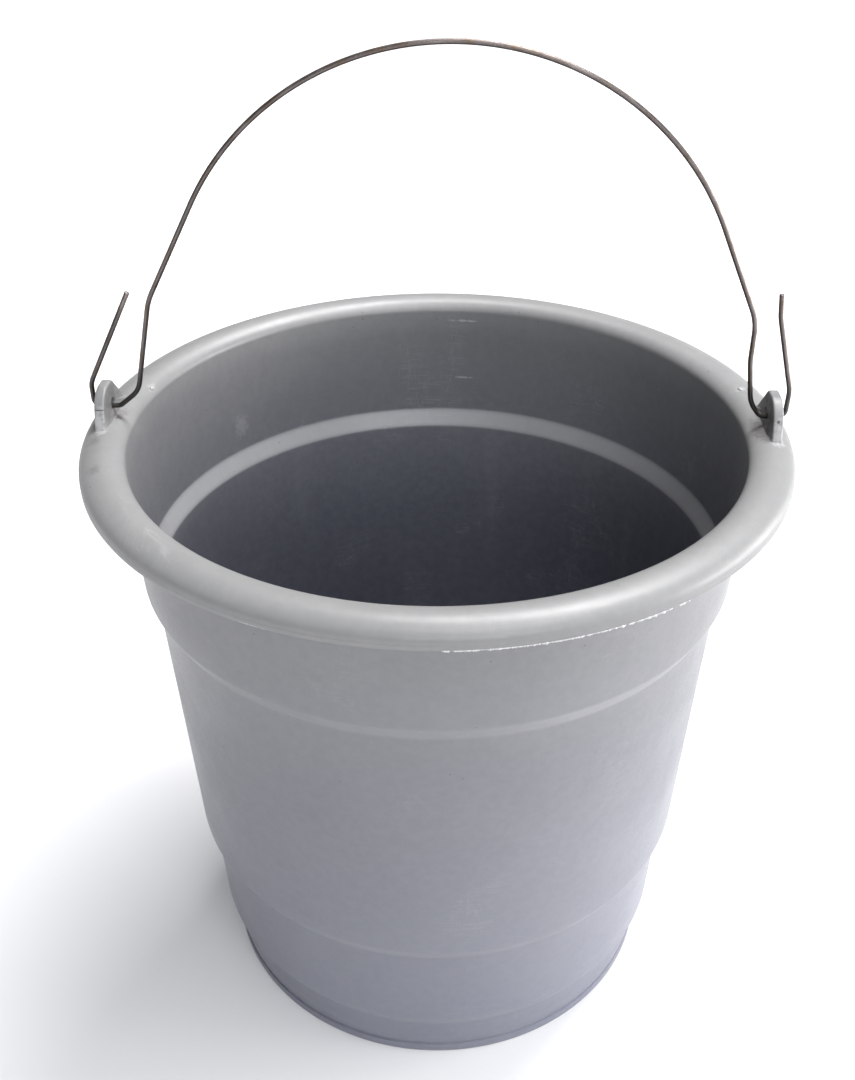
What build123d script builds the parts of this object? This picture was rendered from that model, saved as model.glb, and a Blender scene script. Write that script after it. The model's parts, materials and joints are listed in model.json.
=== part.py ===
from build123d import *
import os
from math import acos, atan2, cos, degrees, hypot, radians, sin, tan

# Mortar bucket: a one-shot plastic tub with a rolled rim and two ears, and a steel wire bail.
# Frame: +Z up, origin on the ground under the tub's axis, bail hinge along X. Millimetres.
# The tub is one moulding. It is built as six solids that meet face to face: foot ring, floor,
# wall, rolled rim and two ears. The bail is one bent wire that swings in the ears' holes.

# ---- Tub: driving dimensions ----
bucket_height = 286.0          # ground to the crown of the rim
rim_diameter = 300.0           # over the rim
rim_width = 18.8               # rim, from mouth to outer edge
rim_rise = 6.1                 # crown above the widest point of the rim
rim_skirt = 2.4                # straight lip below the widest point
rim_thickness = 2.6
wall_thickness = 2.6
draft_angle = 3.0              # lean of the wall, in degrees
step_depth = 4.4               # how far each nesting step narrows the wall
step_drop = 8.5                # height of a step's sloping face
step_bend = 4.0                # radius where a step turns into the wall
upper_step_below_crown = 60.0
middle_step_height = 87.0      # upper edge of the step, above the ground
lower_step_height = 31.0
foot_height = 4.6
foot_width = 3.4               # radial width of the ring that the bucket stands on
foot_edge = 0.8                # rounding of the foot's lower outer edge
foot_bead = 0.4                # how far the foot stands out past the wall's line
groove_height = 2.2            # groove above the foot
groove_depth = 0.6
floor_thickness = 2.8
floor_corner = 5.0             # radius inside, where the floor turns up into the wall

# ---- Ears ----
ear_thickness = 4.2
ear_inset = 1.5                # inner face of an ear, inside the middle of the rim
ear_height = 15.1              # above the crown of the rim
ear_foot_front = 16.5          # where the front edge meets the crown, from the hinge
ear_foot_back = 17.3
ear_top_front = 11.5           # ends of the ear's top edge, from the hinge
ear_top_back = 2.4
ear_front_round = 11.0
ear_back_round = 5.5
ear_root = 4.0                 # depth of the ear below the crown, cut to the rim's curve
hole_diameter = 5.0

# ---- Bail ----
wire_diameter = 2.1
wire_rest_gap = 0.2            # air under the wire where it lies in the hole
hinge_above_crown = 3.7        # axis of the wire in the holes
crown_inset = 22.6             # the bail's round top is this much smaller than the ears' gap
crown_rise = 31.85             # centre of the round top above the hinge
crown_offset = 5.9             # the round top is bent a little to one side
wire_hook = 3.0                # tight bend at a hole

# Each leg's bends from the round top down to the hole: inset from the ear's inner face, height
# above the hinge, bend radius. Each free end's bends and its cut end: outset from the ear's
# outer face, height above the hinge, bend radius.
left_leg = [(20.95, 47.5, 30.0), (11.8, 7.2, 12.0), (3.0, 0.0, wire_hook)]
left_free_end = [(4.0, 0.0, wire_hook), (4.0, 10.5, 10.0), (-17.1, 51.3, None)]
right_leg = [(10.0, 42.5, 25.0), (9.9, 25.0, 40.0), (7.3, 6.2, 14.0), (2.6, 0.0, wire_hook)]
right_free_end = [(3.8, 0.0, wire_hook), (4.0, 12.0, 15.0), (-4.6, 44.5, 20.0), (-5.6, 54.2, None)]

# ---- Derived sizes ----
lean = tan(radians(draft_angle))
mouth_radius = rim_diameter / 2 - rim_width
rim_middle = rim_diameter / 2 - rim_width / 2
rim_seat = bucket_height - rim_rise            # where the wall ends and the rim begins
step_tops = [bucket_height - upper_step_below_crown, middle_step_height, lower_step_height]
floor_top = foot_height + floor_thickness
dish_top = floor_top + floor_corner            # where the floor's turned-up edge meets the wall
ear_inner = rim_middle - ear_inset
ear_outer = ear_inner + ear_thickness
hinge_height = bucket_height + hinge_above_crown
wire_radius = wire_diameter / 2
hole_height = hinge_height - wire_radius - wire_rest_gap + hole_diameter / 2
crown_radius = ear_inner - crown_inset
crown_centre = (crown_offset, hinge_height + crown_rise)


def wall_corners(inset, lower_end):
    """Corners of the tapered, stepped wall from the rim down to lower_end, moved in by inset."""
    radius = mouth_radius + wall_thickness - inset
    height = rim_seat
    corners = [(radius, height)]
    for step_top in step_tops:
        radius -= lean * (height - step_top)
        corners.append((radius, step_top))
        radius -= step_depth
        height = step_top - step_drop
        corners.append((radius, height))
    corners.append((radius - lean * (height - lower_end), lower_end))
    return corners


def wall_radius(inset, height):
    """Radius of the wall near its foot, at a height below the lowest step."""
    return wall_corners(inset, height)[-1][0]


def turned(outline):
    """Solid of revolution of a closed outline of radius and height, with its seam at the back."""
    return revolve(Plane.YZ * make_face(outline), Axis.Z)


def build_wall():
    outside = FilletPolyline(*wall_corners(0, dish_top), radius=step_bend)
    inside = FilletPolyline(*wall_corners(wall_thickness, dish_top), radius=step_bend)
    top = Line(outside @ 0, inside @ 0)
    bottom = Line(outside @ 1, inside @ 1)
    return turned(Curve() + [outside, inside, top, bottom])


def build_floor():
    """A shallow dish: flat floor with a turned-up edge, grooved outside just above the foot."""
    groove_radius = wall_radius(groove_depth, foot_height)
    groove_top = foot_height + groove_height
    inner_edge = wall_radius(wall_thickness, dish_top)
    corner_start = inner_edge - floor_corner
    outline = Polyline(
        (corner_start, floor_top),
        (0, floor_top),
        (0, foot_height),
        (groove_radius, foot_height),
        (groove_radius, groove_top),
        (wall_radius(0, groove_top), groove_top),
        (wall_radius(0, dish_top), dish_top),
        (inner_edge, dish_top),
    )
    corner = CenterArc((corner_start, dish_top), floor_corner, 270, 90)
    return turned(Curve() + [outline, corner])


def build_foot():
    outer_edge = wall_radius(0, 0) + foot_bead
    inner_edge = outer_edge - foot_width
    outline = FilletPolyline(
        (inner_edge, 0), (outer_edge, 0), (outer_edge, foot_height), (inner_edge, foot_height),
        radius=[foot_edge, foot_edge / 2],
    )
    return turned(Curve() + [outline, Line(outline @ 1, outline @ 0)])


def rim_arch(inset):
    """Half-round arch of the rim's section, from its outer side over the crown to the mouth."""
    return EllipticalCenterArc(
        (rim_middle, rim_seat), rim_width / 2 - inset, rim_rise - inset, arc_size=180,
    )


def build_rim():
    """Inverted channel: the arch springs from the wall and ends in a short outer skirt."""
    outer, inner = rim_arch(0), rim_arch(rim_thickness)
    skirt_end = rim_seat - rim_skirt
    skirt = Polyline(
        outer @ 0,
        (rim_diameter / 2, skirt_end),
        (rim_diameter / 2 - rim_thickness, skirt_end),
        inner @ 0,
    )
    return turned(Curve() + [outer, inner, skirt, Line(outer @ 1, inner @ 1)])


def build_ear(side):
    """Upright plate on the rim's crown, cut to the rim's curve, with a hole for the wire."""
    crown = bucket_height
    outline = FilletPolyline(
        (-ear_foot_front, crown - ear_root),
        (-ear_foot_front, crown),
        (-ear_top_front, crown + ear_height),
        (ear_top_back, crown + ear_height),
        (ear_foot_back, crown),
        (ear_foot_back, crown - ear_root),
        radius=[ear_front_round, ear_front_round, ear_back_round, ear_back_round],
    )
    face = make_face(Curve() + [outline, Line(outline @ 1, outline @ 0)])
    plate = extrude(Plane.YZ * face, ear_thickness)
    hole = Plane.YZ * Pos(0, hole_height) * Circle(hole_diameter / 2)
    plate = Pos(ear_inner, 0, 0) * (plate - extrude(hole, ear_thickness))
    rim_envelope = turned(Curve() + [rim_arch(0), Line(rim_arch(0) @ 1, rim_arch(0) @ 0)])
    ear = plate - rim_envelope
    return ear if side > 0 else mirror(ear, Plane.YZ)


def leg_line(side, leg, free_end):
    """Centre line of one side of the bail, from the round top through the hole to the cut end."""
    knee = (side * (ear_inner - leg[0][0]), hinge_height + leg[0][1])
    across, up = knee[0] - crown_offset, knee[1] - crown_centre[1]
    angle = atan2(up, across) + side * acos(crown_radius / hypot(across, up))
    start = (crown_centre[0] + crown_radius * cos(angle), crown_centre[1] + crown_radius * sin(angle))
    bends = [(side * (ear_inner - inset), hinge_height + rise) for inset, rise, _ in leg]
    bends += [(side * (ear_outer + outset), hinge_height + rise) for outset, rise, _ in free_end]
    radii = [radius for _, _, radius in leg + free_end[:-1]]
    return FilletPolyline(start, *bends, radius=radii), degrees(angle)


def build_bail():
    left, left_angle = leg_line(-1, left_leg, left_free_end)
    right, right_angle = leg_line(1, right_leg, right_free_end)
    crown = CenterArc(crown_centre, crown_radius, right_angle, left_angle - right_angle)
    path = Plane.XZ * (Curve() + [left, crown, right])
    path = Wire(path.edges())
    section = Plane(origin=path @ 0, z_dir=path % 0) * Circle(wire_radius)
    return sweep(section, path=path)


nodes = {
    "foot_ring": build_foot(),
    "bucket_floor": build_floor(),
    "bucket_wall": build_wall(),
    "rolled_rim": build_rim(),
    "bail_ear_left": build_ear(-1),
    "bail_ear_right": build_ear(1),
    "wire_bail": build_bail(),
}

os.makedirs("parts", exist_ok=True)
for name, shape in nodes.items():
    shape.label = name
    export_step(shape, f"parts/{name}.step")
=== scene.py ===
import json
from math import acos, asin, atan2, cos, degrees, hypot, pi, radians, sin, sqrt, tan

import bmesh
import bpy
from bpy.props import FloatProperty, FloatVectorProperty, IntProperty, PointerProperty
from mathutils import Matrix, Vector, noise


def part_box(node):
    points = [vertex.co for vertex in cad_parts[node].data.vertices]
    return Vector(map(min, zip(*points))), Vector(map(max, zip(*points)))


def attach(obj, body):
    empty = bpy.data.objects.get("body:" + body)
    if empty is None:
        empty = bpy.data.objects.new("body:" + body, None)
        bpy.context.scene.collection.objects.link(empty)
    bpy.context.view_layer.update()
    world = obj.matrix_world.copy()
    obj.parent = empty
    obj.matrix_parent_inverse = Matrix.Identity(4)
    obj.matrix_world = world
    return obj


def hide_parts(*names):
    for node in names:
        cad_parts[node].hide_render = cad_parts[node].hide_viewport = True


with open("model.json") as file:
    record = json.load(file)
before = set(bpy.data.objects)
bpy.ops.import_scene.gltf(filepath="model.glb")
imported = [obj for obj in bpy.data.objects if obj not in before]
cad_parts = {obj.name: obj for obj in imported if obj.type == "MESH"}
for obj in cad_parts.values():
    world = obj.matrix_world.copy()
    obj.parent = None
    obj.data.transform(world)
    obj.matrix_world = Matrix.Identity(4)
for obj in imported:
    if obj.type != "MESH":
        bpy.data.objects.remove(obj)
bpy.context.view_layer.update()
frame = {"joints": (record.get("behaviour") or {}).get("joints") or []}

bl_info = {
    "name": "Mortar Bucket",
    "version": (1, 0, 0),
    "blender": (4, 5, 0),
    "location": "3D View > Sidebar > Mortar Bucket",
    "description": "Moulds a builder's bucket with nesting steps and bends its wire bail",
    "category": "Object",
}

MM = 0.001

# Places taken from the frame: crown and edge of the rim, seat of the wall, foot, ears and hinge.
RIM_LOW, RIM_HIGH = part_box("rolled_rim")
WALL_LOW, WALL_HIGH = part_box("bucket_wall")
FOOT_LOW, FOOT_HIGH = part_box("foot_ring")
EAR_LOW, EAR_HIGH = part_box("bail_ear_right")
HINGE_HEIGHT = frame["joints"][0]["pos_m"][2]
EAR_THICKNESS = EAR_HIGH.x - EAR_LOW.x


def length(name, default, description):
    """A length in metres that a user can change, given here in millimetres."""
    return FloatProperty(name=name, description=description, default=default * MM, min=0.0,
                         unit="LENGTH", precision=4)


def colour(name, default, description):
    return FloatVectorProperty(name=name, description=description, default=default, size=3,
                               subtype="COLOR", min=0.0, max=1.0)


# ---------------------------------------------------------------- sizes and colours


class TubSizes(bpy.types.PropertyGroup):
    rim_width: length("Rim width", 18.8, "Rim, from the mouth to its outer edge")
    rim_thickness: length("Rim thickness", 2.6, "Plastic in the rim")
    wall: length("Wall", 2.6, "Plastic in the wall")
    draft: FloatProperty(name="Draft", description="Lean of the wall", default=radians(3.0),
                         subtype="ANGLE")
    step_depth: length("Step depth", 4.4, "How far each nesting step narrows the wall")
    step_drop: length("Step drop", 8.5, "Height of a step's sloping face")
    step_bend: length("Step bend", 4.0, "Radius where a step turns into the wall")
    upper_step: length("Upper step", 60.0, "Upper step's edge, below the crown")
    middle_step: length("Middle step", 87.0, "Middle step's edge, above the ground")
    lower_step: length("Lower step", 31.0, "Lower step's edge, above the ground")
    foot_width: length("Foot width", 3.4, "Ring that the bucket stands on")
    groove_height: length("Groove height", 2.2, "Groove above the foot")
    groove_depth: length("Groove depth", 0.6, "Groove above the foot")
    floor: length("Floor", 2.8, "Plastic in the floor")
    floor_corner: length("Floor corner", 5.0, "Radius where the floor turns up into the wall")
    parting_line: length("Parting line", 0.13, "Depth of the mould's line round the rim")
    unevenness: length("Unevenness", 0.22, "How far the cooled wall strays from true")
    turns: IntProperty(name="Turns", description="Faces round the tub", default=480, min=48)


class EarSizes(bpy.types.PropertyGroup):
    front_foot: length("Front foot", 16.5, "Where the front edge meets the crown")
    back_foot: length("Back foot", 17.3, "Where the back edge meets the crown")
    front_top: length("Front of top", 11.5, "Front end of the ear's top edge")
    back_top: length("Back of top", 2.4, "Back end of the ear's top edge")
    front_round: length("Front rounding", 11.0, "Rounding at the front of the top")
    back_round: length("Back rounding", 5.5, "Rounding at the back of the top")
    hole_diameter: length("Hole", 5.0, "Hole for the wire")
    edge_round: length("Edge rounding", 0.8, "Rounding of the plate's edges")
    root_round: length("Root rounding", 1.3, "Fillet where the ear grows out of the rim")


class BailSizes(bpy.types.PropertyGroup):
    wire: length("Wire", 2.1, "Thickness of the wire")
    rest_gap: length("Rest gap", 0.2, "Air under the wire in the hole")
    crown_inset: length("Crown inset", 22.6, "How much smaller the round top is than the ears' gap")
    crown_rise: length("Crown rise", 31.85, "Centre of the round top, above the hinge")
    crown_offset: length("Crown offset", 5.9, "How far the round top is bent to one side")
    hook: length("Hook", 3.0, "Tight bend at a hole")


class Finishes(bpy.types.PropertyGroup):
    plastic: colour("Plastic", (0.208, 0.208, 0.208), "Grey of the moulding")
    # Painted cool shade towards the foot.
    plastic_cool_shade: colour("Cool plastic", (0.186, 0.191, 0.243), "Bluer grey near the foot")
    # Pale grey for scuffs and nicks, also used for the painted highlights on the steps' slopes and the
    # ears' front edges.
    plastic_pale_and_highlight: colour("Worn plastic", (0.5, 0.5, 0.5), "Scuffs, worn steps and bright nicks")
    plastic_flash: colour("Flash", (0.6, 0.6, 0.6), "Thin plastic left by the mould")
    # Dark colour for smudges and specks, also used for the painted shade on the ears' inner faces and
    # beside the right ear.
    plastic_dirt_and_shade: colour("Dirt", (0.07, 0.06, 0.05), "Smudges and specks")
    wire: colour("Wire", (0.15, 0.13, 0.125), "Dulled galvanised wire")
    wire_rust: colour("Wire stain", (0.12, 0.085, 0.06), "Stains on the wire")
    # Darker, greyer wire low down, near the ears.
    wire_dark_near_ears: colour("Wire grime", (0.045, 0.046, 0.043), "Grime where the wire works in the ears")
    floor: colour("Floor", (0.74, 0.74, 0.75), "Ground under the bucket")


# Each leg's bends from the round top down to the hole: inset from the ear's inner face, height above
# the hinge, bend radius. Each free end's bends and cut end: outset from the ear's outer face, height
# above the hinge, bend radius. Millimetres. A radius of None takes the hook's radius.
LEFT_LEG = [(20.95, 47.5, 30.0), (11.8, 7.2, 12.0), (3.0, 0.0, None)]
LEFT_FREE_END = [(4.0, 0.0, None), (4.0, 10.5, 10.0), (-17.1, 51.3, 0.0)]
RIGHT_LEG = [(10.0, 42.5, 25.0), (9.9, 25.0, 40.0), (7.3, 6.2, 14.0), (2.6, 0.0, None)]
RIGHT_FREE_END = [(3.8, 0.0, None), (4.0, 12.0, 15.0), (-4.6, 44.5, 20.0), (-5.6, 54.2, 0.0)]


# Where the mould left flash on the rim's lower edge, and where it has broken off, in degrees
# round from the front. Its section is out from the rim's edge and up from its lower face, and its
# root lies just inside that corner. Millimetres.
FLASH_SPAN = (2.4, 38.6)
FLASH_BREAKS = ((21.3, 21.5), (34.9, 35.9))
FLASH_SECTION = [(-1.0, 0.1), (-0.1, 0.75), (0.75, 0.42), (1.05, 0.05), (0.75, -0.3), (-0.5, -0.12)]
FLASH_ROOT = (-0.35, 0.12)

# Small nibs left on the rim: name, degrees round from the right ear, millimetres from the middle.
NIBS = (("mould_nib_left", 180 - 12.75, 133.4), ("mould_nib_right", 14, 138.8))
NIB_WIDTH = 1.15
NIB_RISE = 0.75
NIB_SKIRT = (1.0, -0.5)
NIB_STRETCH = (1.0, 1.5, 0.8)

# The ear's foot is sunk into the rim and spreads a little below it. Millimetres.
EAR_SUNK = 2.4
EAR_FOOT_CORNER = 1.45

# Middles of the steps' slopes, above the ground, where the painted highlight bands lie. Millimetres.
STEP_MIDDLES = (221.75, 82.75, 26.75)

# Marks on the plastic: centre and reach along X, Y and Z in millimetres, and strength.
PALE_MARKS = (
    ((9.6, 130.5, 275.9), (8.0, 3.0, 0.7), 0.5),
    ((9.6, 129.6, 244.3), (7.0, 3.0, 0.6), 0.4),
    ((-102.2, 79.7, 238.9), (5.0, 5.0, 7.5), 0.16),
    ((-58.0, -138.0, 277.6), (7.0, 5.0, 0.6), 0.6),
    # The next two are painted highlights on the ears' front edges.
    ((-141.2, -16.5, 290.5), (3.2, 4.5, 13.0), 0.65),
    ((141.4, -16.5, 289.5), (3.2, 4.0, 12.0), 0.65),
    ((-130.1, 29.4, 284.2), (2.2, 3.4, 3.0), 0.4),
    ((134.7, 33.6, 286.2), (2.8, 2.4, 2.5), 0.4),
)
DIRT_AND_SHADE_MARKS = (
    ((-141.6, -25.1, 285.5), (3.5, 4.5, 3.0), 0.3),
    ((-135.1, -48.9, 285.5), (3.5, 4.5, 3.0), 0.3),
    ((-136.8, -3.5, 286.5), (2.8, 1.4, 2.0), 0.85),
    ((-136.0, 0.0, 286.0), (4.0, 7.0, 2.0), 0.4),
    # The next two are painted shade on the ears' inner faces.
    ((-138.8, -2.0, 293.0), (0.7, 15.0, 10.0), 0.45),
    ((138.8, -2.0, 293.0), (0.7, 15.0, 10.0), 0.85),
    # Painted contact shadow on the rim beside the right ear's inner face.
    ((136.0, -4.0, 285.5), (4.2, 12.0, 3.0), 0.6),
    ((-141.2, -14.0, 294.2), (4.0, 3.0, 0.35), 1.0),
    ((141.1, -13.8, 293.9), (0.8, 2.0, 0.8), 1.0),
)


# ---------------------------------------------------------------- lines and meshes


def rounded(corners, arc_gap):
    """Points along a line of corners (across, up, radius), with each corner rounded to its radius."""
    line = []
    for index, (across, up, radius) in enumerate(corners):
        corner = Vector((across, up))
        if radius <= 0 or index in (0, len(corners) - 1):
            line.append(corner)
            continue
        back = (Vector(corners[index - 1][:2]) - corner).normalized()
        ahead = (Vector(corners[index + 1][:2]) - corner).normalized()
        half = acos(max(-1.0, min(1.0, back.dot(ahead)))) / 2
        middle = corner + (back + ahead).normalized() * radius / sin(half)
        first = corner + back * radius / tan(half) - middle
        turn = first.angle_signed(corner + ahead * radius / tan(half) - middle)
        steps = max(2, round(abs(turn) * radius / arc_gap))
        for step in range(steps + 1):
            spoke = first.copy()
            spoke.rotate(Matrix.Rotation(-turn * step / steps, 2))
            line.append(middle + spoke)
    return line


def half_round(centre, width, rise, turn, steps=22):
    """Half ellipse over a centre: turn 1 goes from the outer side to the inner, -1 the other way."""
    angles = [pi * step / steps for step in range(steps + 1)]
    return [Vector((centre[0] + turn * width * cos(at), centre[1] + rise * sin(at))) for at in angles]


def chain(mesh, points, closed=False):
    """Joins points with edges."""
    verts = [mesh.verts.new(point) for point in points]
    pairs = list(zip(verts, verts[1:])) + ([(verts[-1], verts[0])] if closed else [])
    return [mesh.edges.new(pair) for pair in pairs]


def finish_piece(mesh, name, material, body, slot, *nodes):
    """Turns a bmesh into a smooth-shaded piece that rides on a body and stands for its CAD nodes."""
    bmesh.ops.remove_doubles(mesh, verts=mesh.verts, dist=0.004 * MM)
    bmesh.ops.recalc_face_normals(mesh, faces=mesh.faces)
    for face in mesh.faces:
        face.smooth = True
    data = bpy.data.meshes.new(name)
    mesh.to_mesh(data)
    mesh.free()
    data.materials.append(material)
    piece = bpy.data.objects.new(name, data)
    bpy.context.scene.collection.objects.link(piece)
    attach(piece, body)
    if nodes:
        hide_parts(*nodes)
    return piece


# ---------------------------------------------------------------- tub


def wall_line(sizes, inset, lower_end):
    """Corners of the stepped wall from its seat under the rim down to lower_end, moved in by inset."""
    lean = tan(sizes.draft)
    radius = RIM_HIGH.x - sizes.rim_width + sizes.wall - inset
    height = WALL_HIGH.z
    corners = [(radius, height, 0.0)]
    for edge in (RIM_HIGH.z - sizes.upper_step, sizes.middle_step, sizes.lower_step):
        radius -= lean * (height - edge)
        corners.append((radius, edge, sizes.step_bend))
        radius -= sizes.step_depth
        height = edge - sizes.step_drop
        corners.append((radius, height, sizes.step_bend))
    corners.append((radius - lean * (height - lower_end), lower_end, 0.0))
    return corners


def tub_outline(sizes):
    """Section of the whole moulding, from the middle of the underside to the middle of the floor."""
    soft, fine = 0.3 * MM, 0.12 * MM
    foot_top = FOOT_HIGH.z
    foot_edge = FOOT_HIGH.x
    foot_inner = foot_edge - sizes.foot_width
    groove_top = foot_top + sizes.groove_height
    seat = WALL_HIGH.z
    middle = RIM_HIGH.x - sizes.rim_width / 2
    rise = RIM_HIGH.z - seat
    outside = wall_line(sizes, 0.0, groove_top)
    groove_radius = wall_line(sizes, sizes.groove_depth, foot_top)[-1][0]
    foot = [
        (0.0, foot_top, 0.0),
        (foot_inner, foot_top, soft),
        (foot_inner, 0.0, soft),
        (foot_edge, 0.0, 0.8 * MM),
        (foot_edge, foot_top, soft),
        (groove_radius, foot_top, soft),
        (groove_radius, groove_top, soft),
        (outside[-1][0], groove_top, soft),
    ]
    line = rounded(foot + outside[-2::-1], 0.8 * MM)
    line += half_round(
        (middle, seat), sizes.rim_width / 2 - sizes.rim_thickness, rise - sizes.rim_thickness, -1, 10
    )[1:]
    edge, skirt = RIM_HIGH.x, RIM_LOW.z
    line += rounded([
        (edge - sizes.rim_thickness, seat - soft, 0.0),
        (edge - sizes.rim_thickness, skirt, soft),
        (edge, skirt, soft),
        (edge, seat - 0.45 * MM, fine),
        (edge - sizes.parting_line, seat - 0.22 * MM, fine),
        (edge, seat, fine),
        (edge, seat + 0.1 * MM, 0.0),
    ], 0.12 * MM)
    line += half_round((middle, seat), sizes.rim_width / 2, rise, 1, 26)[1:]
    floor_top = foot_top + sizes.floor
    inside = wall_line(sizes, sizes.wall, floor_top)
    line += rounded(
        inside[:-1] + [(inside[-1][0], floor_top, sizes.floor_corner), (0.0, floor_top, 0.0)], 0.8 * MM
    )[1:]
    return line


def spread_run(mesh, longest):
    """Divides every edge longer than the given length."""
    while True:
        edges = [edge for edge in mesh.edges if edge.calc_length() > longest]
        if not edges:
            return
        bmesh.ops.subdivide_edges(mesh, edges=edges, cuts=1)


def warp(place, sizes):
    """Shrinkage of the cooled wall: a slow wave that dies out at the rim, the ears and the foot."""
    seat, foot = WALL_HIGH.z, WALL_LOW.z
    share = max(0.0, min(1.0, (place.z - foot) / (seat - foot)))
    strength = sin(pi * share) ** 0.7 if 0.0 < share < 1.0 else 0.0
    wave = noise.noise(Vector((place.x * 16, place.y * 16, place.z * 11)))
    wave += 0.4 * noise.noise(Vector((place.x * 44 + 7, place.y * 44, place.z * 24)))
    return sizes.unevenness * strength * wave


class MORTAR_OT_mould_tub(bpy.types.Operator):
    """Moulds the tub in one piece: foot, floor, stepped wall and rolled rim"""
    bl_idname = "mortar.mould_tub"
    bl_label = "Mould Tub"

    def execute(self, context):
        sizes = context.scene.tub_sizes
        mesh = bmesh.new()
        chain(mesh, [(point.x, 0.0, point.y) for point in tub_outline(sizes)])
        spread_run(mesh, 14 * MM)
        # A quarter turn, mirrored both ways, is far quicker than a full one.
        bmesh.ops.spin(
            mesh, geom=mesh.verts[:] + mesh.edges[:], cent=(0, 0, 0), axis=(0, 0, 1),
            angle=pi / 2, steps=sizes.turns // 4, use_merge=False, use_duplicate=False,
        )
        for axis in "XY":
            bmesh.ops.mirror(mesh, geom=mesh.verts[:] + mesh.edges[:] + mesh.faces[:],
                             matrix=Matrix.Identity(4), merge_dist=0.01 * MM, axis=axis)
        for vert in mesh.verts:
            outward = Vector((vert.co.x, vert.co.y, 0))
            if outward.length > sizes.wall:
                vert.co += outward.normalized() * warp(vert.co, sizes)
        finish_piece(
            mesh, "mortar_tub", plastic_finish(context.scene.finishes), "tub", "grey_plastic",
            "foot_ring", "bucket_floor", "bucket_wall", "rolled_rim",
        )
        return {"FINISHED"}


# ---------------------------------------------------------------- leavings of the mould


def moulding_leaving(mesh, name, material):
    return finish_piece(mesh, name, material, "tub", "grey_plastic")


class MORTAR_OT_leave_flash(bpy.types.Operator):
    """Leaves a ragged fin of flash along part of the rim's lower edge, and a nib behind each ear"""
    bl_idname = "mortar.leave_flash"
    bl_label = "Leave Flash"

    def execute(self, context):
        sizes = context.scene.tub_sizes
        edge, skirt = RIM_HIGH.x, RIM_LOW.z
        mesh = bmesh.new()
        section = [(edge + out * MM, 0.0, skirt + up * MM) for out, up in FLASH_SECTION]
        chain(mesh, section, closed=True)
        first, last = FLASH_SPAN
        start = Matrix.Rotation(radians(first - 90), 3, "Z")
        bmesh.ops.rotate(mesh, verts=mesh.verts, cent=(0, 0, 0), matrix=start)
        bmesh.ops.spin(
            mesh, geom=mesh.verts[:] + mesh.edges[:], cent=(0, 0, 0), axis=(0, 0, 1),
            angle=radians(last - first), steps=280, use_merge=False, use_duplicate=False,
        )
        bmesh.ops.holes_fill(mesh, edges=[item for item in mesh.edges if item.is_boundary], sides=0)
        for vert in mesh.verts:
            turn = degrees(atan2(vert.co.x, -vert.co.y))
            share = flash_height(turn)
            spoke = Vector((vert.co.x, vert.co.y, 0)).normalized()
            root = spoke * (edge + FLASH_ROOT[0] * MM) + Vector((0, 0, skirt + FLASH_ROOT[1] * MM))
            vert.co = root + (vert.co - root) * share
        moulding_leaving(mesh, "rim_flash", thin_plastic_finish(context.scene.finishes))

        for name, turn, out in NIBS:
            mesh = bmesh.new()
            steps = 4
            arc = [pi / 2 * step / steps for step in range(1, steps + 1)]
            dome = [(0.0, NIB_RISE)] + [(NIB_WIDTH * sin(at), NIB_RISE * cos(at)) for at in arc]
            chain(mesh, [(across * MM, 0.0, up * MM) for across, up in dome + [NIB_SKIRT]])
            bmesh.ops.spin(
                mesh, geom=mesh.verts[:] + mesh.edges[:], cent=(0, 0, 0), axis=(0, 0, 1),
                angle=2 * pi, steps=18, use_merge=True, use_duplicate=False,
            )
            bmesh.ops.holes_fill(mesh, edges=[item for item in mesh.edges if item.is_boundary], sides=0)
            bmesh.ops.scale(mesh, verts=mesh.verts, vec=NIB_STRETCH)
            radius = out * MM
            lean = asin((radius - (edge - sizes.rim_width / 2)) / (sizes.rim_width / 2)) * 0.7
            place = (
                Matrix.Rotation(radians(turn), 4, "Z")
                @ Matrix.Translation((radius, 0, rim_surface(radius, 0, sizes)))
                @ Matrix.Rotation(lean, 4, "Y")
            )
            bmesh.ops.transform(mesh, matrix=place, verts=mesh.verts)
            moulding_leaving(mesh, name, plastic_finish(context.scene.finishes))
        return {"FINISHED"}


def flash_height(turn):
    """How far the flash stands at an angle round the rim, from 0 to 1, with its ends and breaks."""
    first, last = FLASH_SPAN
    height = 0.5 + 0.5 * noise.noise(Vector((turn * 1.4, 3.1, 0)))
    height += 0.4 * noise.noise(Vector((turn * 5.5, 8.2, 0)))
    for low, high in ((first - 1, first + 0.25), *FLASH_BREAKS, (last - 0.5, last + 1)):
        middle, half = (low + high) / 2, (high - low) / 2
        height *= max(0.0, min(1.0, (abs(turn - middle) - half) / 0.35 + 0.5))
    return max(0.03, min(1.0, height))


# ---------------------------------------------------------------- ears


def rim_surface(across, along, sizes):
    """Height of the rim's crown surface at a place seen from above."""
    middle = RIM_HIGH.x - sizes.rim_width / 2
    share = (hypot(across, along) - middle) / (sizes.rim_width / 2)
    return WALL_HIGH.z + (RIM_HIGH.z - WALL_HIGH.z) * sqrt(max(0.0, 1 - share * share))


def ear_outline(sizes):
    """The ear seen along the hinge, with its foot sunk into the rim."""
    crown, top = RIM_HIGH.z, EAR_HIGH.z
    low = crown - EAR_SUNK * MM
    corner = EAR_FOOT_CORNER * MM
    return rounded([
        (0.0, low, 0.0),
        (-sizes.front_foot - 0.7 * MM, low, corner),
        (-sizes.front_foot, crown + 0.6 * MM, 5.0 * MM),
        (-sizes.front_top, top, sizes.front_round),
        (sizes.back_top, top, sizes.back_round),
        (sizes.back_foot - 0.5 * MM, crown + 0.5 * MM, 5.0 * MM),
        (sizes.back_foot + 1.4 * MM, low, corner),
        (1.0 * MM, low, 0.0),
    ], 0.45 * MM)


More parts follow.
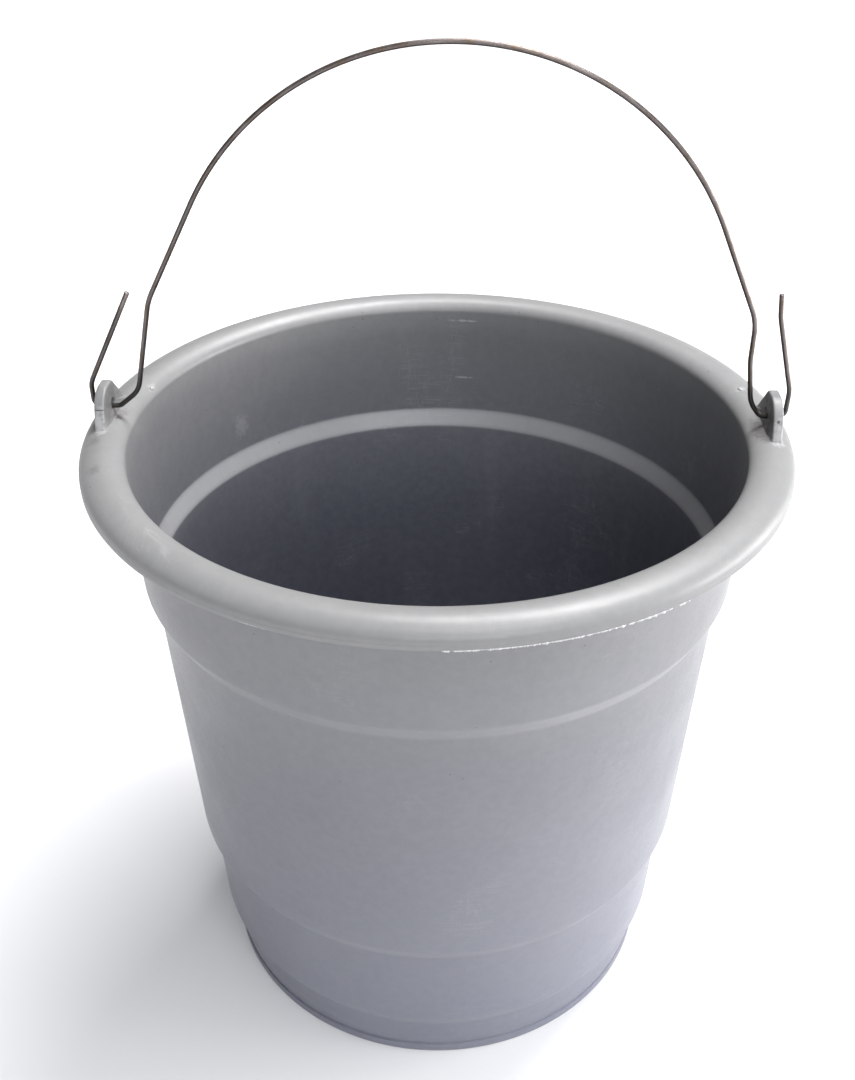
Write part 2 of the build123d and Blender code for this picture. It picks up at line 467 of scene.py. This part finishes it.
def build_ear(context, side, name, node):
    sizes, tub, bail = context.scene.ear_sizes, context.scene.tub_sizes, context.scene.bail_sizes
    middle = (EAR_LOW.x + EAR_HIGH.x) / 2
    half = EAR_THICKNESS / 2
    mesh = bmesh.new()
    chain(mesh, [(0.0, point.x, point.y) for point in ear_outline(sizes)], closed=True)
    spread_run(mesh, 0.9 * MM)
    face = bmesh.ops.contextual_create(mesh, geom=mesh.edges[:])["faces"][0]
    if face.normal.x < 0:
        bmesh.ops.reverse_faces(mesh, faces=[face])
    band = bmesh.ops.extrude_face_region(mesh, geom=[face])
    rim = [item for item in band["geom"] if isinstance(item, bmesh.types.BMVert)]
    bmesh.ops.translate(mesh, verts=rim, vec=(half - sizes.edge_round, 0, 0))
    bmesh.ops.delete(mesh, geom=[face], context="FACES_ONLY")
    flat = [item for item in band["geom"] if isinstance(item, bmesh.types.BMFace)]
    # Round the edge in insets that climb a quarter circle, then take two flat ones.
    quarter = 6
    for step in range(quarter):
        before, after = radians(90 * step / quarter), radians(90 * (step + 1) / quarter)
        bmesh.ops.inset_region(
            mesh, faces=flat, use_even_offset=True,
            thickness=sizes.edge_round * (cos(before) - cos(after)),
            depth=sizes.edge_round * (sin(after) - sin(before)),
        )
    for gap in (0.2, 0.3):
        bmesh.ops.inset_region(mesh, faces=flat, use_even_offset=True, thickness=gap * MM, depth=0.0)
    # Open the hole, with a small rounding at its edge.
    hole_radius = sizes.hole_diameter / 2
    hole_height = HINGE_HEIGHT - bail.wire / 2 - bail.rest_gap + hole_radius
    inner_edges = flat[0].edges[:]
    lip = 0.5 * MM
    ring = bmesh.ops.create_circle(
        mesh, segments=len(inner_edges), radius=hole_radius + lip,
        matrix=Matrix.Translation((half, 0, hole_height)) @ Matrix.Rotation(pi / 2, 4, "Y"),
    )["verts"]
    ring_edges = list({edge for vert in ring for edge in vert.link_edges})
    bmesh.ops.delete(mesh, geom=flat, context="FACES_ONLY")
    bmesh.ops.bridge_loops(mesh, edges=inner_edges + ring_edges)
    bore = ring_edges
    lip_steps = 5
    for step in range(1, lip_steps + 1):
        turn = radians(90 * step / lip_steps)
        grown = bmesh.ops.extrude_edge_only(mesh, edges=bore)["geom"]
        verts = [item for item in grown if isinstance(item, bmesh.types.BMVert)]
        bore = [item for item in grown if isinstance(item, bmesh.types.BMEdge)]
        radius = hole_radius + lip * (1 - sin(turn))
        centre = Vector((0, 0, hole_height))
        for vert in verts:
            spoke = Vector((0, vert.co.y, vert.co.z - hole_height)).normalized() * radius
            vert.co = centre + spoke + Vector((half - lip * (1 - cos(turn)), 0, 0))
    grown = bmesh.ops.extrude_edge_only(mesh, edges=bore)["geom"]
    for vert in [item for item in grown if isinstance(item, bmesh.types.BMVert)]:
        vert.co.x = 0.0
    bmesh.ops.mirror(
        mesh, geom=mesh.verts[:] + mesh.edges[:] + mesh.faces[:], merge_dist=0.01 * MM, axis="X",
    )
    # Flare the root out onto the rim, less towards the front edge.
    for vert in mesh.verts:
        away = vert.co.x / half * max(0.0, min(1.0, (sizes.front_foot + vert.co.y) / (5 * MM)))
        above = vert.co.z - rim_surface(middle + vert.co.x, vert.co.y, tub)
        height = max(0.0, above)
        if height < sizes.root_round:
            out = sizes.root_round - sqrt(sizes.root_round**2 - (sizes.root_round - height) ** 2)
            vert.co.x += away * out
            vert.co.z = rim_surface(middle + vert.co.x, vert.co.y, tub) + above
    bmesh.ops.translate(mesh, verts=mesh.verts, vec=(middle, 0, 0))
    if side < 0:
        bmesh.ops.scale(mesh, verts=mesh.verts, vec=(-1, 1, 1))
    return finish_piece(mesh, name, plastic_finish(context.scene.finishes), "tub", "grey_plastic", node)


class MORTAR_OT_mould_ears(bpy.types.Operator):
    """Raises both ears on the rim, with rounded edges, a flared root and a hole for the wire"""
    bl_idname = "mortar.mould_ears"
    bl_label = "Mould Ears"

    def execute(self, context):
        build_ear(context, -1, "moulded_ear_left", "bail_ear_left")
        build_ear(context, 1, "moulded_ear_right", "bail_ear_right")
        return {"FINISHED"}


# ---------------------------------------------------------------- bail


def bail_line(sizes):
    """Centre line of the bail from the left cut end over the top to the right cut end."""
    ear_inner, ear_outer = EAR_LOW.x, EAR_HIGH.x
    crown = ear_inner - sizes.crown_inset
    centre = Vector((sizes.crown_offset, HINGE_HEIGHT + sizes.crown_rise))
    halves = []
    for side, leg, free_end in ((-1, LEFT_LEG, LEFT_FREE_END), (1, RIGHT_LEG, RIGHT_FREE_END)):
        bends = [(ear_inner - inset * MM, rise, bend) for inset, rise, bend in leg]
        bends += [(ear_outer + outset * MM, rise, bend) for outset, rise, bend in free_end]
        corners = [
            (side * across, HINGE_HEIGHT + rise * MM, sizes.hook if bend is None else bend * MM)
            for across, rise, bend in bends
        ]
        knee = Vector(corners[0][:2]) - centre
        angle = atan2(knee.y, knee.x) + side * acos(crown / knee.length)
        start = centre + crown * Vector((cos(angle), sin(angle)))
        halves.append((angle, rounded([(start.x, start.y, 0.0)] + corners, 0.7 * MM)))
    (left_angle, left), (right_angle, right) = halves
    steps = 110
    top = []
    for step in range(1, steps):
        angle = left_angle + (right_angle - left_angle) * step / steps
        top.append(centre + crown * Vector((cos(angle), sin(angle))))
    return left[::-1] + top + right


class MORTAR_OT_bend_bail(bpy.types.Operator):
    """Bends the bail from one length of wire, through both ears, with its ends cut off square"""
    bl_idname = "mortar.bend_bail"
    bl_label = "Bend Bail"

    def execute(self, context):
        sizes = context.scene.bail_sizes
        line = bail_line(sizes)
        radius = sizes.wire / 2
        mesh = bmesh.new()

        def facing(index):
            before = line[max(index - 1, 0)]
            after = line[min(index + 1, len(line) - 1)]
            run = (after - before).normalized()
            return atan2(run.y, run.x)

        cut = 0.8  # how wide a cut end's flat face is, against the wire
        ring = bmesh.ops.create_circle(mesh, segments=20, radius=radius * cut, cap_ends=True)["verts"]
        edges = list({edge for vert in ring for edge in vert.link_edges})
        angle = facing(0)
        # A ring lies square to X, then turns about Y to face along the wire.
        place = (
            Matrix.Translation((line[0].x, 0, line[0].y))
            @ Matrix.Rotation(-angle, 4, "Y") @ Matrix.Rotation(pi / 2, 4, "Y")
        )
        bmesh.ops.transform(mesh, matrix=place, verts=ring)

        def grow(edges, here, there, turn, size):
            grown = bmesh.ops.extrude_edge_only(mesh, edges=edges)["geom"]
            verts = [item for item in grown if isinstance(item, bmesh.types.BMVert)]
            matrix = (
                Matrix.Translation((there.x, 0, there.y)) @ Matrix.Rotation(-turn, 4, "Y")
                @ Matrix.Scale(size, 4) @ Matrix.Translation((-here.x, 0, -here.y))
            )
            bmesh.ops.transform(mesh, matrix=matrix, verts=verts)
            return [item for item in grown if isinstance(item, bmesh.types.BMEdge)]

        run = Vector((cos(angle), sin(angle)))
        here = line[0]
        burr = 0.18 * MM
        edges = grow(edges, here, here + run * burr, 0.0, 1 / cut)
        here = here + run * burr
        for index in range(1, len(line) - 1):
            turn = (facing(index) - angle + pi) % (2 * pi) - pi
            angle += turn
            edges = grow(edges, here, line[index], turn, 1.0)
            here = line[index]
        run = Vector((cos(angle), sin(angle)))
        last = line[-1]
        edges = grow(edges, here, last - run * burr, 0.0, 1.0)
        edges = grow(edges, last - run * burr, last, 0.0, cut)
        bmesh.ops.contextual_create(mesh, geom=edges)
        finish_piece(
            mesh, "bail_wire", wire_finish(context.scene.finishes),
            "bail", "galvanised_wire", "wire_bail",
        )
        return {"FINISHED"}


# ---------------------------------------------------------------- finishes


class Recipe:
    """A material built one node at a time."""

    def __init__(self, name):
        self.material = bpy.data.materials.new(name)
        self.material.use_nodes = True
        self.tree = self.material.node_tree
        self.shader = self.tree.nodes["Principled BSDF"]

    def feed(self, socket, value):
        if isinstance(value, bpy.types.NodeSocket):
            self.tree.links.new(value, socket)
        else:
            socket.default_value = value

    def node(self, kind, inputs=None, output=0, **settings):
        made = self.tree.nodes.new("ShaderNode" + kind)
        for name, value in settings.items():
            setattr(made, name, value)
        for name, value in (inputs or {}).items():
            self.feed(made.inputs[name], value)
        return made.outputs[output]

    def math(self, operation, first, second=0.0):
        return self.node("Math", {0: first, 1: second}, operation=operation)

    def vector(self, operation, first, second=(0, 0, 0), output=0):
        return self.node("VectorMath", {0: first, 1: second}, output, operation=operation)

    def cloud(self, place, scale, detail=2.0, roughness=0.5, distortion=0.0):
        return self.node("TexNoise", {
            "Vector": place, "Scale": scale, "Detail": detail, "Roughness": roughness,
            "Distortion": distortion,
        })

    def between(self, value, low, high, to_low=0.0, to_high=1.0):
        """A smooth step from one level to another."""
        return self.node("MapRange", {
            "Value": value, "From Min": low, "From Max": high, "To Min": to_low, "To Max": to_high,
        }, interpolation_type="SMOOTHSTEP")

    def stretch(self, place, scale, turn=(0, 0, 0)):
        return self.node("Mapping", {"Vector": place, "Rotation": turn, "Scale": scale})

    def mix(self, share, first, second, blend="MIX"):
        made = self.tree.nodes.new("ShaderNodeMix")
        made.data_type = "RGBA"
        made.blend_type = blend
        for index, value in ((0, share), (6, first), (7, second)):
            if isinstance(value, (tuple, list)) and len(value) == 3:
                value = (*value, 1.0)
            self.feed(made.inputs[index], value)
        return made.outputs[2]


def scratch_lines(recipe, place, scale, stretch, width, turn):
    """Thin broken lines where a stretched cloud crosses its middle level."""
    drawn = recipe.stretch(place, stretch, turn)
    level = recipe.cloud(drawn, scale, 1.0, 0.4, 0.3)
    line = recipe.math("ABSOLUTE", recipe.math("SUBTRACT", level, 0.5))
    line = recipe.between(line, 0.0, width, 1.0, 0.0)
    patches = recipe.between(recipe.cloud(place, 26.0, 2.0), 0.56, 0.68)
    return recipe.math("MULTIPLY", line, patches)


def mark(recipe, place, centre, reach, strength):
    """A soft-edged, slightly broken mark round a centre. Sizes in millimetres."""
    local = recipe.vector("SUBTRACT", place, tuple(at * MM for at in centre))
    scaled = recipe.vector("MULTIPLY", local, tuple(1 / (at * MM) for at in reach))
    away = recipe.vector("LENGTH", scaled, output=1)
    fray = recipe.between(recipe.cloud(place, 500.0, 3.0), 0.3, 0.7, -0.3, 0.3)
    return recipe.between(recipe.math("ADD", away, fray), 0.2, 1.15, strength, 0.0)


def plastic_finish(colours):
    """Semi-matt grey moulded plastic: clouded, speckled, lightly scuffed and smudged."""
    found = bpy.data.materials.get("grey_moulded_plastic")
    if found:
        return found
    recipe = Recipe("grey_moulded_plastic")
    place = recipe.node("TexCoord", output=3)
    base = tuple(colours.plastic)
    pale = tuple(colours.plastic_pale_and_highlight)
    dirt_and_shade = tuple(colours.plastic_dirt_and_shade)
    deep = tuple(channel * 0.95 for channel in base)
    light = tuple(channel * 1.05 for channel in base)
    clouds = recipe.between(recipe.cloud(place, 9.0, 4.0, 0.6), 0.3, 0.7)
    shade = recipe.mix(clouds, deep, light)
    # Painted cool shade: the grey is painted bluer and darker towards the foot.
    height = recipe.node("SeparateXYZ", {0: place}, output=2)
    cool = recipe.node("MapRange", {"Value": height, "From Max": 0.262, "To Min": 0.95, "To Max": 0.0})
    shade = recipe.mix(cool, shade, tuple(colours.plastic_cool_shade))
    # Painted shade: below the rim the wall is painted a little darker, fading out towards the foot, and
    # the inner wall is painted darker and bluer still, most of all low down, except on the steps' slopes.
    under = recipe.math(
        "MULTIPLY", recipe.between(height, 0.266, 0.281, 1.0, 0.0), recipe.between(height, 0.05, 0.2)
    )
    shade = recipe.mix(under, shade, (0.84, 0.84, 0.87), "MULTIPLY")
    facing = recipe.node("TexCoord", output=1)
    outward = recipe.vector("NORMALIZE", recipe.vector("MULTIPLY", place, (1.0, 1.0, 0.0)))
    facing_out = recipe.vector("DOT_PRODUCT", facing, outward, output=1)
    inside = recipe.between(facing_out, -0.985, -0.93, 1.0, 0.0)
    inside = recipe.math("MULTIPLY", inside, recipe.between(height, 0.16, 0.283, 0.95, 0.15))
    shade = recipe.mix(inside, shade, (0.44, 0.46, 0.52), "MULTIPLY")
    # Painted highlight: the steps' slopes are painted paler, most of all inside.
    highlit = recipe.math("ADD", 0.1, recipe.between(facing_out, -0.2, -0.6, 0.0, 0.22))
    for middle in STEP_MIDDLES:
        away = recipe.math("ABSOLUTE", recipe.math("SUBTRACT", height, middle * MM))
        band = recipe.between(away, 2 * MM, 5.5 * MM, 1.0, 0.0)
        shade = recipe.mix(recipe.math("MULTIPLY", band, highlit), shade, pale)
    mottle = recipe.between(recipe.cloud(place, 240.0, 3.0, 0.6), 0.3, 0.7, 0.0, 0.04)
    shade = recipe.mix(mottle, shade, pale)
    # Streaks where the melt flowed up the wall.
    flow = recipe.cloud(recipe.stretch(place, (60, 60, 5)), 1.0, 3.0, 0.6)
    shade = recipe.mix(recipe.between(flow, 0.5, 0.8, 0.0, 0.16), shade, deep)
    # Fine scuffs, level on the wall and slanting on the rim.
    level_lines = scratch_lines(recipe, place, 1.0, (34, 34, 900), 0.03, (0.05, 0.02, 0))
    slant_lines = scratch_lines(recipe, place, 1.0, (600, 40, 90), 0.02, (0.3, 0.5, 0.9))
    scuffs = recipe.math("MAXIMUM", level_lines, slant_lines)
    shade = recipe.mix(recipe.math("MULTIPLY", scuffs, 0.13), shade, pale)
    # Specks of dirt.
    cells = recipe.node("TexVoronoi", {"Vector": place, "Scale": 210.0}, feature="F1")
    lucky = recipe.node("TexVoronoi", {"Vector": place, "Scale": 210.0}, output=1, feature="F1")
    speck = recipe.between(cells, 0.05, 0.13, 1.0, 0.0)
    chosen = recipe.math("GREATER_THAN", recipe.node("SeparateColor", {"Color": lucky}), 0.93)
    specks = recipe.math("MULTIPLY", speck, chosen)
    shade = recipe.mix(recipe.math("MULTIPLY", specks, 0.5), shade, dirt_and_shade)
    # Pale and dark marks round given centres; two pale ones are painted highlights on the ears' front
    # edges, and three dark ones are painted shade on the ears' inner faces and on the rim beside the
    # right ear.
    for marks, ink in ((PALE_MARKS, pale), (DIRT_AND_SHADE_MARKS, dirt_and_shade)):
        for centre, reach, strength in marks:
            shade = recipe.mix(mark(recipe, place, centre, reach, strength), shade, ink)
    recipe.feed(recipe.shader.inputs["Base Color"], shade)
    # Gloss: duller in patches and on scuffs.
    patches = recipe.between(recipe.cloud(place, 22.0, 3.0, 0.6), 0.3, 0.7, 0.37, 0.46)
    gloss = recipe.math("ADD", patches, recipe.math("MULTIPLY", scuffs, 0.15))
    fleck = recipe.between(recipe.cloud(place, 900.0, 2.0), 0.3, 0.7, -0.03, 0.03)
    gloss = recipe.math("ADD", gloss, fleck)
    recipe.feed(recipe.shader.inputs["Roughness"], gloss)
    recipe.shader.inputs["Specular IOR Level"].default_value = 0.5
    recipe.shader.inputs["IOR"].default_value = 1.5
    # Relief: fine grain of the mould, slow sink marks, scuffs cut in.
    grain = recipe.cloud(place, 1300.0, 2.0, 0.5)
    fine = recipe.node("Bump", {"Height": grain, "Strength": 0.05, "Distance": 0.0004})
    slow = recipe.cloud(place, 60.0, 2.0, 0.5)
    wavy = recipe.node("Bump", {"Height": slow, "Strength": 0.12, "Distance": 0.0008, "Normal": fine})
    cut = recipe.node(
        "Bump", {"Height": scuffs, "Strength": 0.15, "Distance": 0.0001, "Normal": wavy}, invert=True,
    )
    recipe.feed(recipe.shader.inputs["Normal"], cut)
    return recipe.material


def thin_plastic_finish(colours):
    """Thin torn plastic, paler than the wall it grew from."""
    found = bpy.data.materials.get("thin_flash_plastic")
    if found:
        return found
    recipe = Recipe("thin_flash_plastic")
    place = recipe.node("TexCoord", output=3)
    pale = tuple(colours.plastic_flash)
    torn = recipe.between(recipe.cloud(place, 900.0, 3.0, 0.6), 0.35, 0.7)
    shade = recipe.mix(torn, pale, tuple(channel * 0.78 for channel in pale))
    recipe.feed(recipe.shader.inputs["Base Color"], shade)
    rough = recipe.between(recipe.cloud(place, 400.0), 0.3, 0.7, 0.35, 0.55)
    recipe.feed(recipe.shader.inputs["Roughness"], rough)
    relief = recipe.node("Bump", {"Height": torn, "Strength": 0.4, "Distance": 0.00015})
    recipe.feed(recipe.shader.inputs["Normal"], relief)
    return recipe.material


def wire_finish(colours):
    """Thin drawn wire, galvanised and dulled, with stains and bright rubbed places."""
    recipe = Recipe("galvanised_wire")
    place = recipe.node("TexCoord", output=3)
    base = tuple(colours.wire)
    stain = tuple(colours.wire_rust)
    bright = tuple(min(1.0, channel * 1.7) for channel in base)
    blotches = recipe.between(recipe.cloud(place, 130.0, 3.0, 0.6), 0.42, 0.66)
    shade = recipe.mix(recipe.math("MULTIPLY", blotches, 0.7), base, stain)
    rubbed = recipe.between(recipe.cloud(place, 60.0, 2.0, 0.5), 0.52, 0.7)
    shade = recipe.mix(recipe.math("MULTIPLY", rubbed, 0.5), shade, bright)
    specks = recipe.between(recipe.cloud(place, 900.0, 2.0, 0.6), 0.55, 0.75)
    shade = recipe.mix(recipe.math("MULTIPLY", specks, 0.4), shade, stain)
    # The wire is darker and greyer low down, near the ears.
    height = recipe.node("SeparateXYZ", {0: place}, output=2)
    dark_near_ears = recipe.between(height, 0.298, 0.312, 0.75, 0.0)
    shade = recipe.mix(dark_near_ears, shade, tuple(colours.wire_dark_near_ears))
    recipe.feed(recipe.shader.inputs["Base Color"], shade)
    recipe.shader.inputs["Metallic"].default_value = 0.85
    rough = recipe.between(recipe.cloud(place, 200.0, 2.0), 0.3, 0.7, 0.3, 0.5)
    recipe.feed(recipe.shader.inputs["Roughness"], rough)
    pits = recipe.cloud(place, 1500.0, 2.0, 0.6)
    relief = recipe.node("Bump", {"Height": pits, "Strength": 0.3, "Distance": 0.0001})
    recipe.feed(recipe.shader.inputs["Normal"], relief)
    return recipe.material


def floor_finish(colours):
    """Plain pale ground."""
    recipe = Recipe("pale_floor")
    place = recipe.node("TexCoord", output=3)
    base = tuple(colours.floor)
    deep = tuple(channel * 0.985 for channel in base)
    recipe.feed(recipe.shader.inputs["Base Color"], recipe.mix(recipe.cloud(place, 3.0, 2.0), base, deep))
    recipe.shader.inputs["Roughness"].default_value = 0.9
    recipe.shader.inputs["Emission Color"].default_value = (1.0, 1.0, 1.0, 1.0)
    # The ground glows a little towards its far edge, where the lights don't reach.
    reach = recipe.vector("LENGTH", place, output=1)
    recipe.feed(recipe.shader.inputs["Emission Strength"], recipe.between(reach, 0.13, 1.6, 0.1, 0.8))
    return recipe.material


# ---------------------------------------------------------------- stage


# Each light's name, place, width and height in metres, watts and tint. All aim at the wall.
LIGHTS = (
    ("window_right", (1.5, 0.1, 0.42), 1.0, 0.6, 22, (1.0, 0.99, 0.98)),
    ("overhead", (0.4, 0.62, 1.85), 1.0, 0.45, 45, (1.0, 1.0, 1.0)),
    ("overhead_front", (0.4, -0.5, 1.8), 1.0, 0.8, 14, (1.0, 1.0, 1.0)),
    ("front", (0.45, -1.6, 1.1), 1.5, 0.45, 15, (0.92, 0.95, 1.0)),
)
LIGHT_AIM = (0, 0, 0.18)


def add_light(name, place, width, height, watts, tint):
    data = bpy.data.lights.new(name, "AREA")
    data.shape = "RECTANGLE"
    data.size, data.size_y = width, height
    data.energy = watts
    data.color = tint
    light = bpy.data.objects.new(name, data)
    light.location = place
    light.rotation_euler = (Vector(LIGHT_AIM) - Vector(place)).to_track_quat("-Z", "Y").to_euler()
    bpy.context.scene.collection.objects.link(light)


class MORTAR_OT_set_stage(bpy.types.Operator):
    """Lays a pale floor and sets soft lights and the camera"""
    bl_idname = "mortar.set_stage"
    bl_label = "Set Stage"

    def execute(self, context):
        scene = context.scene
        mesh = bmesh.new()
        bmesh.ops.create_grid(mesh, x_segments=2, y_segments=2, size=12.0)
        data = bpy.data.meshes.new("floor")
        mesh.to_mesh(data)
        mesh.free()
        data.materials.append(floor_finish(scene.finishes))
        floor = bpy.data.objects.new("floor", data)
        floor.location.z = -0.0002
        scene.collection.objects.link(floor)

        world = bpy.data.worlds.new("studio")
        world.use_nodes = True
        # Soft surroundings, dimmer on the left.
        tree = world.node_tree
        backdrop = tree.nodes["Background"]
        backdrop.inputs["Color"].default_value = (0.95, 0.97, 1.0, 1.0)
        ways = tree.nodes.new("ShaderNodeTexCoord")
        split = tree.nodes.new("ShaderNodeSeparateXYZ")
        dim = tree.nodes.new("ShaderNodeMapRange")
        dim.inputs["From Min"].default_value = -1.0
        dim.inputs["To Min"].default_value = 0.1
        dim.inputs["To Max"].default_value = 0.55
        tree.links.new(ways.outputs["Generated"], split.inputs[0])
        tree.links.new(split.outputs["X"], dim.inputs["Value"])
        tree.links.new(dim.outputs[0], backdrop.inputs["Strength"])
        scene.world = world

        for light in LIGHTS:
            add_light(*light)

        lens = bpy.data.cameras.new("camera")
        lens.sensor_width = 36.0
        lens.lens = 40.49
        lens.shift_x = -0.0088
        lens.clip_start = 0.01
        camera = bpy.data.objects.new("camera", lens)
        camera.location = (0.0166, -0.4644, 0.5256)
        camera.rotation_euler = (radians(57), 0, radians(2.05))
        scene.collection.objects.link(camera)
        scene.camera = camera
        scene.view_settings.view_transform = "Standard"
        return {"FINISHED"}


# ---------------------------------------------------------------- add-on


class MORTAR_PT_bucket(bpy.types.Panel):
    """Lists the bucket's sizes, finishes and steps"""
    bl_label = "Mortar Bucket"
    bl_idname = "MORTAR_PT_bucket"
    bl_space_type = "VIEW_3D"
    bl_region_type = "UI"
    bl_category = "Mortar Bucket"

    def draw(self, context):
        for group, steps in PANEL:
            box = self.layout.box()
            values = getattr(context.scene, group)
            for name in values.__annotations__:
                box.prop(values, name)
            for step in steps:
                box.operator(step.bl_idname)


GROUPS = {"tub_sizes": TubSizes, "ear_sizes": EarSizes, "bail_sizes": BailSizes, "finishes": Finishes}
STEPS = (
    MORTAR_OT_mould_tub, MORTAR_OT_leave_flash, MORTAR_OT_mould_ears, MORTAR_OT_bend_bail,
    MORTAR_OT_set_stage,
)
PANEL = (
    ("tub_sizes", (MORTAR_OT_mould_tub, MORTAR_OT_leave_flash)),
    ("ear_sizes", (MORTAR_OT_mould_ears,)),
    ("bail_sizes", (MORTAR_OT_bend_bail,)),
    ("finishes", (MORTAR_OT_set_stage,)),
)


def register():
    for group in (*GROUPS.values(), *STEPS, MORTAR_PT_bucket):
        bpy.utils.register_class(group)
    for name, group in GROUPS.items():
        setattr(bpy.types.Scene, name, PointerProperty(type=group))


def unregister():
    for name in GROUPS:
        delattr(bpy.types.Scene, name)
    for group in (MORTAR_PT_bucket, *STEPS, *GROUPS.values()):
        bpy.utils.unregister_class(group)


def main():
    register()
    bpy.ops.mortar.mould_tub()
    bpy.ops.mortar.leave_flash()
    bpy.ops.mortar.mould_ears()
    bpy.ops.mortar.bend_bail()
    bpy.ops.mortar.set_stage()


if __name__ == "__main__":
    main()
